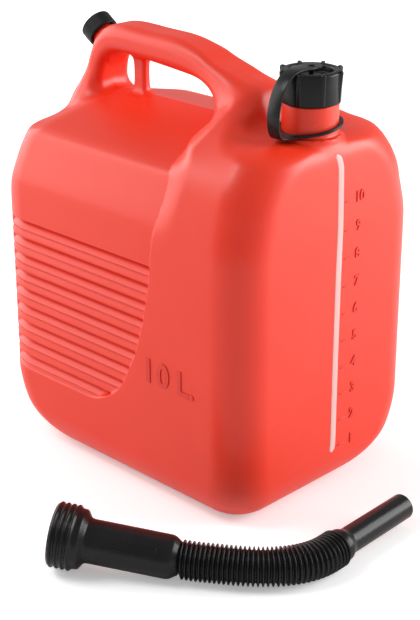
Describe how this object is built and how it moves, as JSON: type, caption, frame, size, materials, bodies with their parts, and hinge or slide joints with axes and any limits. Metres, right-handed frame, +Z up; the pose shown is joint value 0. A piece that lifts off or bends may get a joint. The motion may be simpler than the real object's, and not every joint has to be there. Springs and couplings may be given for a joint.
{
  "type": "jerrycan",
  "caption": "Plastic fuel can with a moulded carrying handle, a litre scale beside a see-through stripe, screw caps, a cap tether and a loose flexible pouring spout.",
  "frame": {"origin": "middle of the tank's foot, on the surface that the can stands on", "axes": "+X towards the end wall with the litre scale and the filler neck, -Y towards the side that carries the capacity mark and faces the spout, +Z up"},
  "size_m": [0.3376, 0.3159, 0.3228],
  "materials": {
    "red_plastic": "satin, slightly translucent blow-moulded polyethylene",
    "stripe_plastic": "satin, see-through",
    "black_plastic": "satin black",
    "tether_plastic": "flexible black",
    "seal_foam": "matt grey foam"
  },
  "bodies": {
    "tank": {"tank_shell": "red_plastic", "view_stripe": "stripe_plastic"},
    "tether": {"tether_ring": "tether_plastic", "tether_strap": "tether_plastic"},
    "eyelet": {"tether_eyelet": "tether_plastic"},
    "cap": {"filler_cap": "black_plastic", "filler_cap_gasket": "seal_foam"},
    "vent_seal": {"vent_cap_gasket": "seal_foam"},
    "vent": {"vent_cap": "black_plastic"},
    "spout": {"spout_base": "black_plastic", "spout_gasket": "seal_foam", "spout_hose": "black_plastic"},
    "nozzle": {"spout_nozzle": "black_plastic"}
  },
  "joints": [
    {"name": "tether_swivel", "type": "hinge", "parent": "tank", "child": "tether", "pos_m": [0.102, 0, 0.2719], "axis": [0, 0, 1], "range_deg": [-20, 190]},
    {"name": "cap_lift", "type": "slide", "parent": "tether", "child": "eyelet", "axis": [0, 0, 1], "range_m": [0, 0.01], "deforming": ["tether_strap"]},
    {"name": "cap_turn", "type": "hinge", "parent": "eyelet", "child": "cap", "pos_m": [0.102, 0, 0.3], "axis": [0, 0, 1], "range_deg": [0, 905]},
    {"name": "vent_lift", "type": "slide", "parent": "tank", "child": "vent_seal", "axis": [-0.829, 0, 0.5592], "range_m": [0, 0.006]},
    {"name": "vent_turn", "type": "hinge", "parent": "vent_seal", "child": "vent", "pos_m": [-0.0985, 0, 0.301], "axis": [-0.829, 0, 0.5592], "range_deg": [0, 725]},
    {"name": "spout_lift", "type": "slide", "parent": "tank", "child": "spout", "axis": [0, 0, 1], "range_m": [0, 0.3]},
    {"name": "spout_bend", "type": "hinge", "parent": "spout", "child": "nozzle", "pos_m": [0.19692, -0.11012, 0.0136], "axis": [0, 0, 1], "range_deg": [-60, 25], "deforming": ["spout_hose"]}
  ],
  "couplings": [
    {"joint": "cap_turn", "follows": "cap_lift", "rad_per_m": 1570.8},
    {"joint": "vent_turn", "follows": "vent_lift", "rad_per_m": 2094.4}
  ]
}
